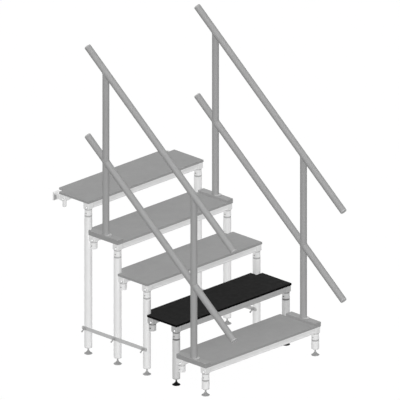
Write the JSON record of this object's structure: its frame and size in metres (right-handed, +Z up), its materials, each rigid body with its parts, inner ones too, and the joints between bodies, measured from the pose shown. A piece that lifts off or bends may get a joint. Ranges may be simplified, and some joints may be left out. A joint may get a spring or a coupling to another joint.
{
  "type": "modular stage stairs with handrails",
  "caption": "Modular stage stairs: notched treads on separate tube legs with levelling feet, tie bars with clamp levers, sloping tube handrails on both sides, claws for the stage edge.",
  "frame": {"origin": "on the floor, under the middle of the whole object's bounding box", "axes": "+X along the treads to the right of a person who walks up, +Y up the stairs towards the stage, +Z up"},
  "size_m": [1.0268, 1.5382, 2.016],
  "materials": {
    "grey_board": "film-faced plywood, matt, mid grey",
    "black_board": "film-faced plywood, matt, black",
    "pale_aluminium": "satin, pale grey",
    "aluminium": "satin, grey",
    "pale_tube": "satin, pale grey",
    "tube": "satin, light grey",
    "grey_plastic": "moulded, matt, mid grey",
    "black_plastic": "moulded, matt, black",
    "grey_steel": "powder coat, satin, mid grey"
  },
  "bodies": {
    "stairs": {"handrail_left": "grey_steel", "handrail_right": "grey_steel", "leg_1_left": "pale_tube", "leg_1_right": "pale_tube", "leg_2_left": "tube", "leg_2_right": "tube", "leg_3_left": "pale_tube", "leg_3_right": "pale_tube", "leg_4_left": "pale_tube", "leg_4_right": "pale_tube", "leg_5_left": "pale_tube", "leg_5_right": "pale_tube", "leg_collar_1_left": "grey_plastic", "leg_collar_1_right": "grey_plastic", "leg_collar_2_left": "black_plastic", "leg_collar_2_right": "black_plastic", "leg_collar_3_left": "grey_plastic", "leg_collar_3_right": "grey_plastic", "leg_collar_4_left": "grey_plastic", "leg_collar_4_right": "grey_plastic", "leg_collar_5_left": "grey_plastic", "leg_collar_5_right": "grey_plastic", "rail_base_1_left": "grey_steel", "rail_base_1_right": "grey_steel", "rail_base_4_left": "grey_steel", "rail_base_4_right": "grey_steel", "tie_bar_left": "grey_steel", "tie_bar_right": "grey_steel", "tread_frame_1": "pale_aluminium", "tread_frame_2": "aluminium", "tread_frame_3": "pale_aluminium", "tread_frame_4": "pale_aluminium", "tread_frame_5": "pale_aluminium", "tread_panel_1": "grey_board", "tread_panel_2": "black_board", "tread_panel_3": "grey_board", "tread_panel_4": "grey_board", "tread_panel_5": "grey_board"},
    "foot_1_left_body": {"foot_1_left": "grey_plastic"},
    "foot_1_right_body": {"foot_1_right": "grey_plastic"},
    "foot_2_left_body": {"foot_2_left": "black_plastic"},
    "foot_2_right_body": {"foot_2_right": "black_plastic"},
    "foot_3_left_body": {"foot_3_left": "grey_plastic"},
    "foot_3_right_body": {"foot_3_right": "grey_plastic"},
    "foot_4_left_body": {"foot_4_left": "grey_plastic"},
    "foot_4_right_body": {"foot_4_right": "grey_plastic"},
    "foot_5_left_body": {"foot_5_left": "grey_plastic"},
    "foot_5_right_body": {"foot_5_right": "grey_plastic"},
    "tie_lever_3_left_body": {"tie_lever_3_left": "grey_steel"},
    "tie_lever_3_right_body": {"tie_lever_3_right": "grey_steel"},
    "tie_lever_4_left_body": {"tie_lever_4_left": "grey_steel"},
    "tie_lever_4_right_body": {"tie_lever_4_right": "grey_steel"},
    "tie_lever_5_left_body": {"tie_lever_5_left": "grey_steel"},
    "tie_lever_5_right_body": {"tie_lever_5_right": "grey_steel"},
    "stage_claw_left_body": {"stage_claw_left": "pale_aluminium"},
    "stage_claw_right_body": {"stage_claw_right": "pale_aluminium"},
    "claw_knob_left_body": {"claw_knob_left": "pale_aluminium"},
    "claw_knob_right_body": {"claw_knob_right": "pale_aluminium"}
  },
  "joints": [
    {"name": "foot_1_left_height", "type": "slide", "parent": "stairs", "child": "foot_1_left_body", "axis": [0, 0, 1], "range_m": [-0.016, 0.02]},
    {"name": "foot_1_right_height", "type": "slide", "parent": "stairs", "child": "foot_1_right_body", "axis": [0, 0, 1], "range_m": [-0.016, 0.02]},
    {"name": "foot_2_left_height", "type": "slide", "parent": "stairs", "child": "foot_2_left_body", "axis": [0, 0, 1], "range_m": [-0.016, 0.02]},
    {"name": "foot_2_right_height", "type": "slide", "parent": "stairs", "child": "foot_2_right_body", "axis": [0, 0, 1], "range_m": [-0.016, 0.02]},
    {"name": "foot_3_left_height", "type": "slide", "parent": "stairs", "child": "foot_3_left_body", "axis": [0, 0, 1], "range_m": [-0.016, 0.02]},
    {"name": "foot_3_right_height", "type": "slide", "parent": "stairs", "child": "foot_3_right_body", "axis": [0, 0, 1], "range_m": [-0.016, 0.02]},
    {"name": "foot_4_left_height", "type": "slide", "parent": "stairs", "child": "foot_4_left_body", "axis": [0, 0, 1], "range_m": [-0.016, 0.02]},
    {"name": "foot_4_right_height", "type": "slide", "parent": "stairs", "child": "foot_4_right_body", "axis": [0, 0, 1], "range_m": [-0.016, 0.02]},
    {"name": "foot_5_left_height", "type": "slide", "parent": "stairs", "child": "foot_5_left_body", "axis": [0, 0, 1], "range_m": [-0.016, 0.02]},
    {"name": "foot_5_right_height", "type": "slide", "parent": "stairs", "child": "foot_5_right_body", "axis": [0, 0, 1], "range_m": [-0.016, 0.02]},
    {"name": "tie_lever_3_left_turn", "type": "hinge", "parent": "stairs", "child": "tie_lever_3_left_body", "pos_m": [-0.46206, -0.01188, 0.172], "axis": [1, 0, 0], "range_deg": [0, 180]},
    {"name": "tie_lever_3_right_turn", "type": "hinge", "parent": "stairs", "child": "tie_lever_3_right_body", "pos_m": [0.48794, -0.01188, 0.172], "axis": [1, 0, 0], "range_deg": [0, 180]},
    {"name": "tie_lever_4_left_turn", "type": "hinge", "parent": "stairs", "child": "tie_lever_4_left_body", "pos_m": [-0.46206, 0.23812, 0.172], "axis": [1, 0, 0], "range_deg": [0, 180]},
    {"name": "tie_lever_4_right_turn", "type": "hinge", "parent": "stairs", "child": "tie_lever_4_right_body", "pos_m": [0.48794, 0.23812, 0.172], "axis": [1, 0, 0], "range_deg": [0, 180]},
    {"name": "tie_lever_5_left_turn", "type": "hinge", "parent": "stairs", "child": "tie_lever_5_left_body", "pos_m": [-0.46206, 0.48812, 0.172], "axis": [1, 0, 0], "range_deg": [0, 180]},
    {"name": "tie_lever_5_right_turn", "type": "hinge", "parent": "stairs", "child": "tie_lever_5_right_body", "pos_m": [0.48794, 0.48812, 0.172], "axis": [1, 0, 0], "range_deg": [0, 180]},
    {"name": "stage_claw_left_reach", "type": "slide", "parent": "stairs", "child": "stage_claw_left_body", "axis": [0, 1, 0], "range_m": [0, 0.012]},
    {"name": "stage_claw_right_reach", "type": "slide", "parent": "stairs", "child": "stage_claw_right_body", "axis": [0, 1, 0], "range_m": [0, 0.012]},
    {"name": "claw_knob_left_turn", "type": "hinge", "parent": "stairs", "child": "claw_knob_left_body", "pos_m": [-0.46206, 0.69067, 0.93], "axis": [0, 0, 1], "range_deg": [0, 360]},
    {"name": "claw_knob_right_turn", "type": "hinge", "parent": "stairs", "child": "claw_knob_right_body", "pos_m": [0.48794, 0.69067, 0.93], "axis": [0, 0, 1], "range_deg": [0, 360]}
  ]
}
